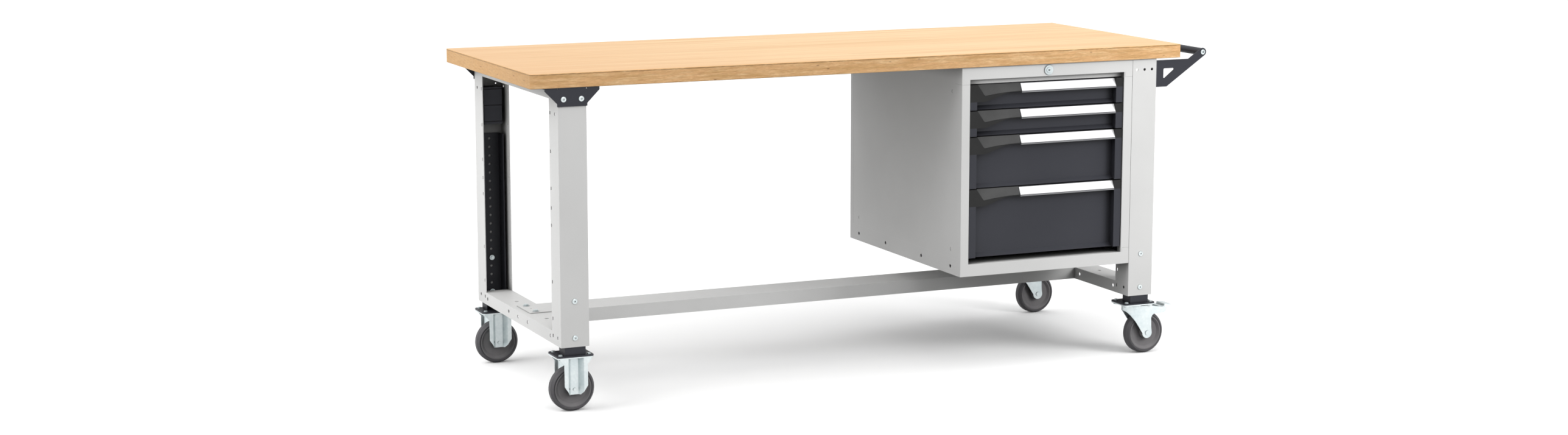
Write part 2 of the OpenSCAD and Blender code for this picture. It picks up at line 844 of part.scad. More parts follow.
// the swivel head: ring race and king pin under the plate
ring_r = 28;
ring_t = 5.5;
pin_r = 6;
crown_top = plate_z - ring_t - face_fit;
crown_t = 8;
crown_r = 25;
module swivel_plates() {
  color(zinc) bench() for (y = castor_rows) {
    translate([leg_rx, y, 0]) {
      castor_plate(0);
      along_z(0, 0, ring_r, plate_z - ring_t, plate_z);
      along_z(0, 0, pin_r, crown_top - crown_t - face_fit, plate_z);
      along_z(0, 0, pin_r + 4, crown_top - crown_t - face_fit - 3,
              crown_top - crown_t - face_fit);
    }
  }
}
fork_top = crown_top;
fork_t = 3;
nose_x = -36;
brake_reach = 102;
// seen from the side: a cheek with the brake arm behind and a nose in front
module fork_outline() {
  low_r = 16;
  polygon([
    [nose_x - 1, fork_top], [nose_x - 1, plate_z - 18], [nose_x + 5, plate_z - 21],
    [-22, plate_z - 29], [-2, plate_z - 54], [trail - low_r, wheel_r],
    [trail + low_r, wheel_r], [trail + low_r - 2, wheel_r + 16], [49, plate_z - 44],
    [53, plate_z - 36], [60, plate_z - 32], [brake_reach - 10, plate_z - 31],
    [brake_reach - 4, plate_z - 27], [brake_reach, plate_z - 17],
    [48, plate_z - 7], [45, fork_top]]);
  translate([trail, wheel_r]) circle(low_r);
}
// seen from above: the cheeks run straight behind and close to a blunt nose in front
module fork_plan(inset, back) {
  half = fork_in + fork_t - inset;
  front = nose_x + inset;
  polygon([
    [back, half], [22, half], [8, half - 0.4], [-6, half - 2], [-17, half - 5],
    [-25, half - 9], [-31, half - 14], [front, half - 20],
    [front, 20 - half], [-31, 14 - half], [-25, 9 - half], [-17, 5 - half],
    [-6, 2 - half], [8, 0.4 - half], [22, -half], [back, -half]]);
}
module swivel_fork() {
  roof_back = 45;
  difference() {
    union() {
      intersection() {
        linear_extrude(plate_z) difference() {
          fork_plan(0, brake_reach + 1);
          fork_plan(fork_t, brake_reach + 2);
        }
        sheet_xz(-plate_y / 2, plate_y) fork_outline();
      }
      translate([0, 0, fork_top - fork_t]) linear_extrude(fork_t) fork_plan(0, roof_back);
      along_z(0, 0, crown_r, crown_top - crown_t, crown_top);
    }
    along_z(0, 0, pin_r + axle_fit, crown_top - crown_t - 1, crown_top + 1);
    along_y(pedal_x, pedal_z, pedal_pin_r + axle_fit, -plate_y, plate_y);
  }
  translate([trail, 0, 0]) axle(-fork_in - fork_t, fork_in + fork_t, axle_r + 0.5, 2.5);
}
module swivel_fork_front() {
  color(zinc) bench() translate([leg_rx, castor_rows[0], 0]) swivel_fork();
}
module swivel_fork_rear() {
  color(zinc) bench() translate([leg_rx, castor_rows[1], 0]) swivel_fork();
}
// the brake pedal rocks on a pin between the fork cheeks behind the wheel
pedal_x = 80;
pedal_z = plate_z - 24;
pedal_pin_r = 3;
pedal_w = 2 * fork_in - 2 * face_fit;
pedal_eye_r = 6;
// a bent sheet: an arm up from the pin, a low tread, a step and a high tread behind
module brake_pedal() {
  tread_z = pedal_z + 10;
  sheet_t = 3;
  near = pedal_x - 4;
  step_x = pedal_x + 16;
  tip = pedal_x + 39;
  step_h = 6;
  sheet_xz(-pedal_w / 2, pedal_w) polygon([
    [near, tread_z], [near, tread_z + sheet_t], [step_x - 1, tread_z + sheet_t - 1],
    [step_x + 0.5, tread_z + sheet_t + step_h - 1], [tip, tread_z + step_h],
    [tip, tread_z + step_h - sheet_t], [step_x + 3.5, tread_z + step_h - 1.4],
    [step_x + 2, tread_z - 1], [pedal_x + 10, tread_z - 0.6],
    [pedal_x + pedal_eye_r, pedal_z], [pedal_x - pedal_eye_r, pedal_z]]);
  along_y(pedal_x, pedal_z, pedal_eye_r, -pedal_w / 2, pedal_w / 2);
  along_y(pedal_x, pedal_z, pedal_pin_r, -fork_in - fork_t, fork_in + fork_t);
}
module brake_pedal_front() {
  color(zinc) bench() translate([leg_rx, castor_rows[0], 0]) brake_pedal();
}
module brake_pedal_rear() {
  color(zinc) bench() translate([leg_rx, castor_rows[1], 0]) brake_pedal();
}
// wheels
hub_r = 52;
hub_half = tyre_w / 2 + 3;
module at_wheel(left, rear) {
  translate([left ? leg_lx : leg_rx + trail, castor_rows[rear ? 1 : 0], wheel_r]) {
    rotate([90, 0, 0]) children();
  }
}
module tyre_blank() {
  crown = 2;
  shoulder = 6;
  rotate_extrude($fn = 96) polygon([
    [hub_r, -tyre_w / 2 + 2], [hub_r + 3, -tyre_w / 2],
    [wheel_r - shoulder, -tyre_w / 2], [wheel_r - crown, -tyre_w / 2 + shoulder],
    [wheel_r, -tyre_w / 4], [wheel_r, tyre_w / 4],
    [wheel_r - crown, tyre_w / 2 - shoulder], [wheel_r - shoulder, tyre_w / 2],
    [hub_r + 3, tyre_w / 2], [hub_r, tyre_w / 2 - 2]]);
}
module hub_blank() {
  rim = 3;
  boss = 15;
  dish = 7;
  rotate_extrude($fn = 96) polygon([
    [axle_r + axle_fit, -hub_half], [boss, -hub_half], [boss + 2, -hub_half + 2],
    [boss + 3, -dish], [hub_r - 10, -dish - 2], [hub_r - rim, -tyre_w / 2 + 1],
    [hub_r, -tyre_w / 2 + 1], [hub_r, tyre_w / 2 - 1], [hub_r - rim, tyre_w / 2 - 1],
    [hub_r - 10, dish + 2], [boss + 3, dish],
    [boss + 2, hub_half - 2], [boss, hub_half], [axle_r + axle_fit, hub_half]]);
}
module tyre_front_left() {
  color(tread) bench() at_wheel(true, false) tyre_blank();
}
module tyre_rear_left() {
  color(tread) bench() at_wheel(true, true) tyre_blank();
}
module tyre_front_right() {
  color(tread) bench() at_wheel(false, false) tyre_blank();
}
module tyre_rear_right() {
  color(tread) bench() at_wheel(false, true) tyre_blank();
}
module hub_front_left() {
  color(grey) bench() at_wheel(true, false) hub_blank();
}
module hub_rear_left() {
  color(grey) bench() at_wheel(true, true) hub_blank();
}
module hub_front_right() {
  color(grey) bench() at_wheel(false, false) hub_blank();
}
module hub_rear_right() {
  color(grey) bench() at_wheel(false, true) hub_blank();
}

// ---- drawers, counted from the top ----
function front_top(i) = tops[i] - drawer_gap;
function front_low(i) = tops[i] - heights[i] + drawer_gap;
module tray(i) {
  top = front_top(i) - 8;
  low = front_low(i) + 4;
  lip = 11;
  difference() {
    span([tray_x0, panel_y + tray_t, low], [tray_x1, tray_y1, top]);
    span([tray_x0 + tray_t, panel_y + tray_t - 1, low + tray_t],
         [tray_x1 - tray_t, tray_y1 - tray_t, top + 1]);
  }
  // runner members on the sides
  for (x = [tray_x0 - runner_t, tray_x1]) {
    z = tops[i] - heights[i] / 2 - runner_h / 2;
    span([x, panel_y + 4, z + 3], [x + runner_t, tray_y1 - 10, z + runner_h - 3]);
  }
  // recessed panel, with a lip slanting forward along the bottom
  span([front_x0, panel_y, front_low(i) + lip], [front_x1, panel_y + tray_t, front_top(i) - 2]);
  sheet_yz(front_x0 + post_w, front_x1 - post_w) polygon([
    [panel_y, front_low(i) + lip], [panel_y - lip, front_low(i)],
    [panel_y - lip + 2, front_low(i)], [panel_y + tray_t, front_low(i) + lip - 0.5],
    [panel_y + tray_t, front_low(i) + lip]]);
  // folded posts at both ends
  for (side = [0, 1]) {
    x0 = side == 0 ? front_x0 : front_x1 - post_w;
    drop = side == 0 ? cap_drop : cap_small;
    difference() {
      span([x0, front_y, front_low(i)], [x0 + post_w, panel_y, front_top(i) - drop]);
      span([x0 + tray_t, front_y + tray_t, front_low(i) - 1],
           [x0 + post_w - tray_t, panel_y + 1, front_top(i)]);
    }
  }
}
module drawer_1() {
  color(dark) bench() tray(0);
}
module drawer_2() {
  color(dark) bench() tray(1);
}
module drawer_3() {
  color(dark) bench() tray(2);
}
module drawer_4() {
  color(dark) bench() tray(3);
}
// the slanted grip profile
module grip_bar(i) {
  top = front_top(i);
  color(grey) bench() sheet_yz(grip_x0, grip_x1) polygon([
    [front_y, top - grip_drop], [front_y + tilt_in, top - 3], [panel_y, top],
    [panel_y, top - 8], [front_y + tilt_in, top - 12], [front_y + 5, top - grip_drop - 1],
    [front_y + 4, top - grip_drop - 3], [front_y, top - grip_drop - 3]]);
}
module handle_1() {
  grip_bar(0);
}
module handle_2() {
  grip_bar(1);
}
module handle_3() {
  grip_bar(2);
}
module handle_4() {
  grip_bar(3);
}
tilt = atan((grip_drop - 3) / tilt_in);
label_margin = 1.8;
label_t = 0.6;
module label_strip(i) {
  slope = norm([tilt_in, grip_drop - 3]);
  color(white) bench() translate([grip_x0, front_y, front_top(i) - grip_drop]) {
    rotate([tilt, 0, 0]) translate([face_fit, label_margin, 0]) {
      cube([grip_x1 - grip_x0 - 2 * face_fit, slope - label_margin - face_fit, label_t]);
    }
  }
}
module label_1() {
  label_strip(0);
}
module label_2() {
  label_strip(1);
}
module label_3() {
  label_strip(2);
}
module label_4() {
  label_strip(3);
}
// moulded end caps: the left one runs on under the latch, the right one is small
latch_lean = 21.6;
latch_low = 32.7;
latch_t = 4.6;
latch_slope = tilt_in / (latch_low - 3);
// the latch in X and Z, grown by g
module latch_outline(g) {
  polygon([
    [latch_in - 2 * g, g - 3], [latch_in + latch_lean - 2 * g, -latch_low - g],
    [latch_in + 57, -28.6 - g], [latch_in + 102, -25.2 - g], [latch_in + latch_len, -24 - g],
    [latch_in + latch_len + g * 3, -24 - g], [latch_in + latch_len + g * 3, g - 3]]);
}
// what lies in front of the slanted plane that is deep behind the latch's own face
module slope_yz(deep) {
  polygon([
    [front_y - 1, -latch_low - 2], [front_y + deep - 2 * latch_slope, -latch_low - 2],
    [front_y + deep + tilt_in + 4 * latch_slope, 1], [front_y - 1, 1]]);
}
module caps(i) {
  low = -cap_drop;
  end = grip_x0 - front_x0;
  color(plastic) bench() translate([0, 0, front_top(i)]) {
    difference() {
      sheet_xz(front_y, recess) translate([front_x0, 0]) polygon([
        [0, low], [49, low], [70, low + 6], [84, low + 10.5], [106, low + 19],
        [128, -grip_drop], [end, -grip_drop], [end, -1], [0, -1]]);
      intersection() {
        sheet_xz(front_y - 1, recess + 2) translate([front_x0, 0]) union() {
          latch_outline(face_fit);
          translate([latch_in - 2 * face_fit, -3]) square([latch_len + 5 * face_fit, 4]);
        }
        sheet_yz(front_x0, grip_x0 + 1) slope_yz(latch_t + face_fit);
      }
    }
    span([front_x1 - post_w, front_y, -cap_small], [front_x1, panel_y, -1]);
  }
}
module end_caps_1() {
  caps(0);
}
module end_caps_2() {
  caps(1);
}
module end_caps_3() {
  caps(2);
}
module end_caps_4() {
  caps(3);
}
// the latch lever: a slanted plate with a leaning left edge, on a barrel along its top
module latch(i) {
  barrel_r = latch_t / 2 - 0.2;
  color(plastic) bench() translate([0, 0, front_top(i)]) {
    intersection() {
      sheet_xz(front_y, recess) translate([front_x0, 0]) latch_outline(0);
      difference() {
        sheet_yz(front_x0, grip_x0) slope_yz(latch_t);
        sheet_yz(front_x0 - 1, grip_x0 + 1) slope_yz(0);
      }
    }
    along_x(front_y + tilt_in + latch_t / 2, -3, barrel_r, front_x0 + latch_in + latch_t,
            front_x0 + latch_in + latch_len);
  }
}
module latch_1() {
  latch(0);
}
module latch_2() {
  latch(1);
}
module latch_3() {
  latch(2);
}
module latch_4() {
  latch(3);
}
// the middle members of the telescopic runners
module runner_pair(i) {
  z = tops[i] - heights[i] / 2 - runner_h / 2 + 3;
  web = 1.5;
  h = runner_h - 6;
  color(dark) bench() for (side = [0, 1]) {
    x = side == 0 ? open_x0 + face_fit : open_x1 - face_fit - runner_t;
    difference() {
      span([x, panel_y + 6, z], [x + runner_t, tray_y1 - 12, z + h]);
      span([side == 0 ? x + web : x - 1, panel_y, z + web],
           [side == 0 ? x + runner_t + 1 : x + runner_t - web, tray_y1, z + h - web]);
    }
  }
}
module runner_1() {
  runner_pair(0);
}
module runner_2() {
  runner_pair(1);
}
module runner_3() {
  runner_pair(2);
}
module runner_4() {
  runner_pair(3);
}

worktop();
leg_front_left();
leg_rear_left();
leg_front_right();
leg_rear_right();
leg_inserts();
top_brackets();
top_rails();
cross_rails();
stretcher();
cabinet_shell();
cabinet_base();
cabinet_back();
cabinet_frame();
fixed_runners();
lock_body();
lock_cylinder();
lock_cam();
handle_arms();
handle_tube();
frame_screws();
caster_bolts();
fixed_casters();
swivel_plates();
swivel_fork_front();
swivel_fork_rear();
brake_pedal_front();
brake_pedal_rear();
tyre_front_left();
tyre_rear_left();
tyre_front_right();
tyre_rear_right();
hub_front_left();
hub_rear_left();
hub_front_right();
hub_rear_right();
drawer_1();
drawer_2();
drawer_3();
drawer_4();
handle_1();
handle_2();
handle_3();
handle_4();
label_1();
label_2();
label_3();
label_4();
end_caps_1();
end_caps_2();
end_caps_3();
end_caps_4();
latch_1();
latch_2();
latch_3();
latch_4();
runner_1();
runner_2();
runner_3();
runner_4();
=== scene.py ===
"""Looks of the mobile workbench: camera, materials and studio light."""
import json
import math

import bpy
from mathutils import Euler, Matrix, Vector


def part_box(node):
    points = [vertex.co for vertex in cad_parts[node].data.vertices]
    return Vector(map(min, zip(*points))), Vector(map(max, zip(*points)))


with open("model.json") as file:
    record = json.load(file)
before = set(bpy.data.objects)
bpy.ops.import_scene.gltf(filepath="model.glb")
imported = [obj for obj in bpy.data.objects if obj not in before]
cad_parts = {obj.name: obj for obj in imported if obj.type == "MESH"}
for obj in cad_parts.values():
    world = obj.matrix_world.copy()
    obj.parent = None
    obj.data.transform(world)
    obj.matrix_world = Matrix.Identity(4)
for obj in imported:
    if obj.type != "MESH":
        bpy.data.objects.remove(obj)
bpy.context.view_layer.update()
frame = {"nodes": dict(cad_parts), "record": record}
NODES = frame["nodes"]
RECORD = frame["record"]
SLOT_OF = {s["node"]: s["material_slot"] for s in RECORD["subparts"]}

# the camera was fitted in the bench's own corner frame, so shift it to the part's frame
CORNER_X = -1.04625
CORNER_Y = -0.375
CAM_POS = (-2.1702, -6.4781, 1.6720)
CAM_YAW = 24.106
CAM_PITCH = 9.434
CAM_LENS = 59.93
SENSOR_WIDTH = 36.0

# light that the object gets from the world and the floor, and the floor as the camera sees it
WORLD_FILL = 0.71
FLOOR_BOUNCE = 0.08
FLOOR_SEEN = 1.06
FLOOR_HALF = 30.0
FLOOR_DROP = 0.0005

# texture cells per metre: the fine speckle of each surface
PAINT_GRAIN = 900.0
PLASTIC_GRAIN = 1100.0
HUB_GRAIN = 900.0
TREAD_GRAIN = 1200.0

# how far, in metres, shade reaches out of a corner, and how dark it gets there
PAINT_SHADE = (0.060, 0.22)
ZINC_SHADE = (0.010, 0.25)
PLASTIC_SHADE = (0.020, 0.4)


# ---------------------------------------------------------------- node helpers
class Mat:
    """A material with short calls for the nodes it is made of."""

    def __init__(self, name):
        self.m = bpy.data.materials.new(name)
        self.m.use_nodes = True
        self.t = self.m.node_tree
        self.bsdf = self.t.nodes["Principled BSDF"]
        self.coord = self.t.nodes.new("ShaderNodeTexCoord")

    def node(self, kind, **settings):
        n = self.t.nodes.new(kind)
        for key, value in settings.items():
            setattr(n, key, value)
        return n

    def link(self, a, b):
        self.t.links.new(a, b)

    def fill(self, socket, value):
        if isinstance(value, bpy.types.NodeSocket):
            self.link(value, socket)
        else:
            socket.default_value = value

    def at(self, scale=(1, 1, 1), turn=(0, 0, 0)):
        n = self.node("ShaderNodeMapping")
        n.inputs["Scale"].default_value = scale
        n.inputs["Rotation"].default_value = turn
        self.link(self.coord.outputs["Object"], n.inputs["Vector"])
        return n.outputs["Vector"]

    def noise(self, vector, scale, detail=4.0, rough=0.5, distort=0.0):
        n = self.node("ShaderNodeTexNoise")
        self.link(vector, n.inputs["Vector"])
        n.inputs["Scale"].default_value = scale
        n.inputs["Detail"].default_value = detail
        n.inputs["Roughness"].default_value = rough
        n.inputs["Distortion"].default_value = distort
        return n.outputs["Fac"]

    def voronoi(self, vector, scale):
        n = self.node("ShaderNodeTexVoronoi")
        self.link(vector, n.inputs["Vector"])
        n.inputs["Scale"].default_value = scale
        return n.outputs["Distance"]

    def math(self, op, a, b=0.0):
        n = self.node("ShaderNodeMath", operation=op)
        self.fill(n.inputs[0], a)
        self.fill(n.inputs[1], b)
        return n.outputs[0]

    def span(self, value, lo, hi, to_lo=0.0, to_hi=1.0):
        n = self.node("ShaderNodeMapRange")
        self.fill(n.inputs["Value"], value)
        n.inputs["From Min"].default_value = lo
        n.inputs["From Max"].default_value = hi
        n.inputs["To Min"].default_value = to_lo
        n.inputs["To Max"].default_value = to_hi
        return n.outputs[0]

    def ramp(self, value, stops):
        n = self.node("ShaderNodeValToRGB")
        self.fill(n.inputs[0], value)
        e = n.color_ramp.elements
        while len(e) < len(stops):
            e.new(0.5)
        for spot, (pos, col) in zip(e, stops):
            spot.position = pos
            spot.color = (*col, 1.0)
        return n.outputs["Color"]

    def mix(self, fac, a, b):
        n = self.node("ShaderNodeMix", data_type="RGBA")
        self.fill(n.inputs["Factor"], fac)
        for socket, value in ((n.inputs[6], a), (n.inputs[7], b)):
            if isinstance(value, tuple):
                socket.default_value = (*value, 1.0)
            else:
                self.link(value, socket)
        return n.outputs[2]

    def bump(self, height, strength, distance):
        n = self.node("ShaderNodeBump")
        n.inputs["Strength"].default_value = strength
        n.inputs["Distance"].default_value = distance
        self.link(height, n.inputs["Height"])
        return n.outputs["Normal"]

    def split(self, vector):
        n = self.node("ShaderNodeSeparateXYZ")
        self.link(vector, n.inputs[0])
        return n.outputs

    def edges(self, radius):
        """1 where a sharp edge is near, 0 on flat faces."""
        bevel = self.node("ShaderNodeBevel", samples=6)
        bevel.inputs["Radius"].default_value = radius
        geo = self.node("ShaderNodeNewGeometry")
        dot = self.node("ShaderNodeVectorMath", operation="DOT_PRODUCT")
        self.link(bevel.outputs["Normal"], dot.inputs[0])
        self.link(geo.outputs["Normal"], dot.inputs[1])
        return self.span(dot.outputs["Value"], 0.98, 0.7)

    def painted_shade(self, reach, darkest):
        """Painted shade: 1 in the open, down to darkest where surfaces close in within reach."""
        ao = self.node("ShaderNodeAmbientOcclusion", samples=8)
        ao.inputs["Distance"].default_value = reach
        return self.span(ao.outputs["AO"], 0.35, 0.85, darkest, 1.0)

    def finish(self, color, rough, normal, metal=0.0, shine=0.5):
        b = self.bsdf.inputs
        b["Specular IOR Level"].default_value = shine
        b["Metallic"].default_value = metal
        self.link(color, b["Base Color"])
        self.link(rough, b["Roughness"])
        self.link(normal, b["Normal"])
        return self.m


def lin(r, g, b):
    """sRGB 0-255 to linear."""
    def one(c):
        c /= 255
        return c / 12.92 if c <= 0.04045 else ((c + 0.055) / 1.055) ** 2.4
    return (one(r), one(g), one(b))


# ---------------------------------------------------------------- materials
TIMBER_DEEP = lin(230, 187, 134)
TIMBER_MID = lin(238, 200, 150)
TIMBER_PALE = lin(242, 208, 160)
TIMBER_STREAK = lin(220, 172, 118)
EDGE_MID = lin(232, 186, 136)
EDGE_PALE = lin(244, 208, 160)
EDGE_DEEP = lin(198, 156, 102)
GLUE = lin(158, 114, 68)
# painted shade for the faces that point down
UNDERSIDE_SHADE = lin(122, 112, 100)
PLIES = 13.0


def timber():
    m = Mat("timber")
    xyz = m.split(m.coord.outputs["Object"])
    facing = m.split(m.coord.outputs["Normal"])
    on_top = m.span(m.math("ABSOLUTE", facing[2]), 0.55, 0.8)
    # the face veneer: broad staves, long streaks and fine pores, all running along X
    stave = m.noise(m.at((0.35, 8.0, 1.0)), 1.8, 3.0, 0.55, 0.2)
    streak = m.noise(m.at((0.8, 48.0, 1.0)), 2.2, 5.0, 0.6, 0.5)
    pale = m.noise(m.at((0.7, 19.0, 1.0), (0.0, 0.0, 0.01)), 2.0, 4.0, 0.6, 0.3)
    pore = m.noise(m.at((6.0, 420.0, 1.0)), 2.0, 2.0, 0.5)
    face = m.ramp(stave, [(0.30, TIMBER_DEEP), (0.50, TIMBER_MID), (0.70, TIMBER_PALE)])
    face = m.mix(m.span(streak, 0.42, 0.66, 0.0, 0.65), face, TIMBER_STREAK)
    face = m.mix(m.span(pale, 0.55, 0.75, 0.0, 0.55), face, lin(255, 232, 190))
    face = m.mix(m.span(pore, 0.60, 0.78, 0.0, 0.12), face, lin(196, 148, 98))
    low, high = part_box("worktop")
    far_end = m.span(xyz[0], low.x, low.x + 0.9, 0.5, 0.0)
    face = m.mix(far_end, face, lin(222, 174, 124))
    smoky = m.noise(m.at((1.6, 30.0, 1.0)), 2.6, 5.0, 0.65, 0.8)
    face = m.mix(m.span(smoky, 0.56, 0.72, 0.0, 0.35), face, lin(196, 160, 112))
    # the edges: plies with broken dark glue lines, pale and dark patches, and small knots
    thick = high.z - low.z
    wave = m.noise(m.at((3.0, 3.0, 30.0)), 2.0, 3.0)
    depth = m.math("DIVIDE", m.math("SUBTRACT", high.z, xyz[2]), thick)
    bent = m.math("ADD", depth, m.math("MULTIPLY", m.math("SUBTRACT", wave, 0.5), 0.05))
    saw = m.math("FRACT", m.math("MULTIPLY", bent, PLIES))
    line = m.span(m.math("ABSOLUTE", m.math("SUBTRACT", saw, 0.5)), 0.24, 0.44)
    dash = m.noise(m.at((38.0, 38.0, 330.0)), 1.5, 4.0, 0.7)
    fibre = m.noise(m.at((55.0, 55.0, 560.0)), 1.5, 4.0, 0.7)
    patch = m.noise(m.at((7.0, 7.0, 70.0)), 1.3, 3.0, 0.6)
    light = m.noise(m.at((11.0, 11.0, 90.0), (0.3, 0.0, 0.0)), 1.2, 3.0, 0.6)
    knot = m.voronoi(m.at((16.0, 16.0, 60.0)), 1.0)
    edge = m.mix(m.span(light, 0.45, 0.65, 0.0, 0.9), EDGE_MID, EDGE_PALE)
    edge = m.mix(m.span(patch, 0.48, 0.68, 0.0, 0.75), edge, EDGE_DEEP)
    edge = m.mix(m.span(fibre, 0.40, 0.65, 0.0, 0.45), edge, EDGE_DEEP)
    # painted shade: the short ends, the faces along X, are given a deeper tone
    end_shade = m.span(m.math("ABSOLUTE", facing[0]), 0.5, 0.8, 0.0, 0.75)
    edge = m.mix(end_shade, edge, EDGE_DEEP)
    edge = m.mix(m.math("MULTIPLY", line, m.span(dash, 0.36, 0.60, 0.20, 1.0)), edge, GLUE)
    edge = m.mix(m.span(knot, 0.10, 0.05, 0.0, 0.7), edge, lin(104, 72, 46))
    # the glue line under the face veneer shows darkest, broken along its length
    veneer = m.math("MULTIPLY", m.span(depth, 0.035, 0.06), m.span(depth, 0.125, 0.095))
    edge = m.mix(m.math("MULTIPLY", veneer, m.span(dash, 0.30, 0.55, 0.15, 0.85)), edge,
                 lin(128, 96, 58))
    color = m.mix(on_top, edge, face)
    # painted shade: faces that point down are turned a dark grey-brown
    color = m.mix(m.span(facing[2], -0.8, -0.6, 1.0, 0.0), color, UNDERSIDE_SHADE)
    rough = m.span(streak, 0.2, 0.8, 0.42, 0.58)
    relief = m.math("ADD", m.math("MULTIPLY", pore, 0.4),
                    m.math("MULTIPLY", m.math("SUBTRACT", 1.0, on_top), line))
    m.bsdf.inputs["Coat Weight"].default_value = 0.04
    m.bsdf.inputs["Coat Roughness"].default_value = 0.35
    return m.finish(color, rough, m.bump(relief, 0.12, 0.0004), shine=0.25)


def powder(name, base, low, fleck, edge_highlight, rough, shine):
    """Powder coat: fine orange peel, soft cloudy tone, a painted highlight along the edges, painted
    shade in corners.
    """
    m = Mat(name)
    obj = m.coord.outputs["Object"]
    cloud = m.noise(m.at((2.0, 2.0, 2.0)), 1.7, 3.0)
    fine = m.noise(obj, PAINT_GRAIN, 3.0, 0.6)
    peel = m.noise(obj, PAINT_GRAIN * 0.33, 2.0, 0.5)
    color = m.mix(m.span(cloud, 0.35, 0.7), base, low)
    color = m.mix(m.span(fine, 0.35, 0.75, 0.0, 0.35), color, fleck)
    # painted highlight: a lighter colour along the sharp edges
    color = m.mix(m.math("MULTIPLY", m.edges(0.0012), 0.35), color, edge_highlight)
    # painted shade: the colour goes towards black where surfaces close in
    color = m.mix(m.painted_shade(*PAINT_SHADE), (0.0, 0.0, 0.0), color)
    r = m.span(fine, 0.3, 0.7, rough - 0.05, rough + 0.07)
    h = m.math("ADD", fine, m.math("MULTIPLY", peel, 0.8))
    return m.finish(color, r, m.bump(h, 0.10, 0.0003), shine=shine)


def zinc():
    m = Mat("zinc")
    obj = m.coord.outputs["Object"]
    cloud = m.noise(obj, 22.0, 4.0, 0.6)
    brush = m.noise(m.at((40.0, 40.0, 400.0)), 1.5, 3.0)
    spangle = m.voronoi(obj, 130.0)
    color = m.ramp(cloud, [(0.3, lin(196, 206, 208)), (0.7, lin(226, 232, 232))])
    color = m.mix(m.span(spangle, 0.2, 0.6, 0.0, 0.15), color, lin(176, 188, 192))
    # painted shade: the zinc goes dark blue-grey where surfaces close in
    color = m.mix(m.painted_shade(*ZINC_SHADE), lin(60, 68, 72), color)
    rough = m.span(cloud, 0.3, 0.7, 0.30, 0.42)
    h = m.math("ADD", m.math("MULTIPLY", brush, 0.5), spangle)
    return m.finish(color, rough, m.bump(h, 0.05, 0.0002), metal=0.75)


def moulded(name, base, low, grain, rough, relief=0.15, highlight_weight=0.25):
    """Moulded plastic: fine spark texture, slight dusty variation, a painted highlight along the
    edges, painted shade in corners.
    """
    m = Mat(name)
    obj = m.coord.outputs["Object"]
    cloud = m.noise(obj, 14.0, 3.0)
    fine = m.noise(obj, grain, 2.0, 0.6)
    color = m.mix(m.span(cloud, 0.35, 0.7), base, low)
    # painted highlight: a lighter colour along the sharp edges
    color = m.mix(m.math("MULTIPLY", m.edges(0.001), highlight_weight), color,
                  tuple(min(1.0, c * 1.8 + 0.02) for c in base))
    # painted shade: the colour goes towards black where surfaces close in
    color = m.mix(m.painted_shade(*PLASTIC_SHADE), (0.0, 0.0, 0.0), color)
    r = m.span(fine, 0.3, 0.7, rough - 0.05, rough + 0.07)
    return m.finish(color, r, m.bump(fine, relief, 0.0002), shine=0.25)


def rubber():
    m = Mat("tread")
    obj = m.coord.outputs["Object"]
    dust = m.noise(obj, 30.0, 4.0, 0.6)
    fine = m.noise(obj, TREAD_GRAIN, 2.0)
    color = m.mix(m.span(dust, 0.4, 0.75), lin(70, 69, 72), lin(84, 82, 84))
    # painted highlight: the tread turns lighter grey along its sharp edges
    color = m.mix(m.math("MULTIPLY", m.edges(0.0015), 0.3), color, lin(110, 108, 110))
    return m.finish(color, m.span(dust, 0.3, 0.7, 0.55, 0.72), m.bump(fine, 0.2, 0.0002))


def steel():
    m = Mat("runner_steel")
    drawn = m.noise(m.at((300.0, 4.0, 300.0)), 2.0, 3.0)
    color = m.ramp(drawn, [(0.3, lin(150, 153, 158)), (0.7, lin(184, 187, 190))])
    rough = m.span(drawn, 0.3, 0.7, 0.3, 0.45)
    return m.finish(color, rough, m.bump(drawn, 0.05, 0.0002), metal=0.9)


def label():
    m = Mat("label_white")
    fibre = m.noise(m.at((60.0, 500.0, 500.0)), 1.4, 3.0)
    color = m.ramp(fibre, [(0.3, lin(250, 251, 252)), (0.7, lin(254, 254, 254))])
    m.bsdf.inputs["Coat Weight"].default_value = 0.5
    m.bsdf.inputs["Coat Roughness"].default_value = 0.12
    return m.finish(color, m.span(fibre, 0.3, 0.7, 0.28, 0.36), m.bump(fibre, 0.03, 0.0002))


def profile():
    """Grip extrusion: dark anodised, lighter grey on its upright faces than on those facing up or
    down.
    """
    m = Mat("grip_profile")
    drawn = m.noise(m.at((3.0, 500.0, 500.0)), 1.6, 3.0)
    up = m.math("ABSOLUTE", m.split(m.coord.outputs["Normal"])[2])
    color = m.mix(m.span(up, 0.1, 0.3), lin(138, 139, 141), lin(58, 58, 62))
    color = m.mix(m.span(drawn, 0.35, 0.7, 0.0, 0.12), color, lin(40, 40, 44))
    return m.finish(color, m.span(drawn, 0.3, 0.7, 0.34, 0.46), m.bump(drawn, 0.04, 0.0002))


